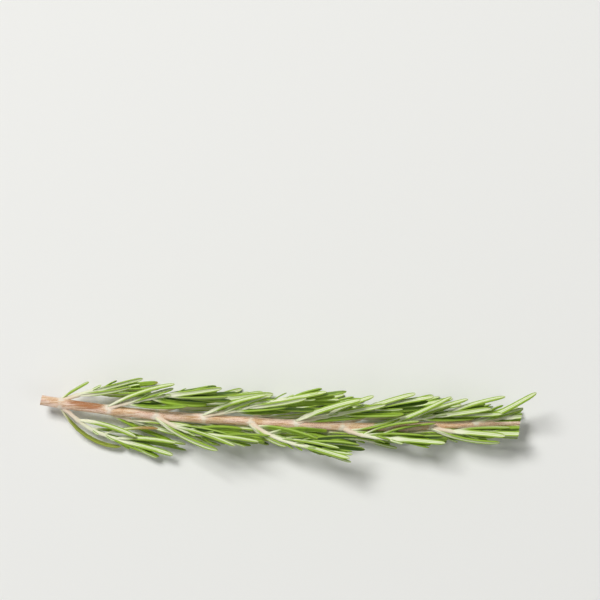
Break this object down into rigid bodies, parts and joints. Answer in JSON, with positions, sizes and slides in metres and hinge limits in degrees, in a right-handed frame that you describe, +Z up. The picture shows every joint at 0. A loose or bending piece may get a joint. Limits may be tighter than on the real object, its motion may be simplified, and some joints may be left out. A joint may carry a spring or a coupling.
{
  "type": "rosemary sprig",
  "caption": "Cut rosemary sprig lying flat: a woody stem with paired needle leaves and pale side shoots, for food and herb scenes.",
  "frame": {"origin": "middle of the footprint, on the surface that the sprig lies on", "axes": "+X along the stem from the cut woody base to the tip end, +Y to the sprig's left as seen from above, +Z up from the surface"},
  "size_m": [0.174, 0.0278, 0.0251],
  "materials": {
    "bark": "matte",
    "young_shoot": "satin",
    "leaf": "satin"
  },
  "bodies": {
    "root": {"main_stem": "bark", "side_shoot_01_left": "young_shoot", "side_shoot_01_right": "young_shoot", "side_shoot_02_left": "young_shoot", "side_shoot_02_right": "young_shoot", "side_shoot_03_left": "young_shoot", "side_shoot_03_right": "young_shoot", "side_shoot_04_left": "young_shoot", "side_shoot_04_right": "young_shoot", "side_shoot_05_left": "young_shoot", "side_shoot_05_right": "young_shoot", "side_shoot_06_left": "young_shoot", "side_shoot_06_right": "young_shoot", "side_shoot_07_left": "young_shoot", "side_shoot_07_right": "young_shoot", "side_shoot_08_left": "young_shoot", "side_shoot_08_right": "young_shoot", "side_shoot_09_left": "young_shoot", "side_shoot_09_right": "young_shoot", "side_shoot_10_left": "young_shoot", "side_shoot_10_right": "young_shoot", "stem_leaf_01_left": "leaf", "stem_leaf_01_right": "leaf", "stem_leaf_02_left": "leaf", "stem_leaf_02_right": "leaf", "stem_leaf_03_left": "leaf", "stem_leaf_03_right": "leaf", "stem_leaf_04_left": "leaf", "stem_leaf_04_right": "leaf", "stem_leaf_05_left": "leaf", "stem_leaf_05_right": "leaf", "stem_leaf_06_left": "leaf", "stem_leaf_06_right": "leaf", "stem_leaf_07_left": "leaf", "stem_leaf_07_right": "leaf", "stem_leaf_08_left": "leaf", "stem_leaf_08_right": "leaf", "stem_leaf_09_left": "leaf", "stem_leaf_09_right": "leaf", "stem_leaf_10_left": "leaf", "stem_leaf_10_right": "leaf"}
  },
  "joints": []
}
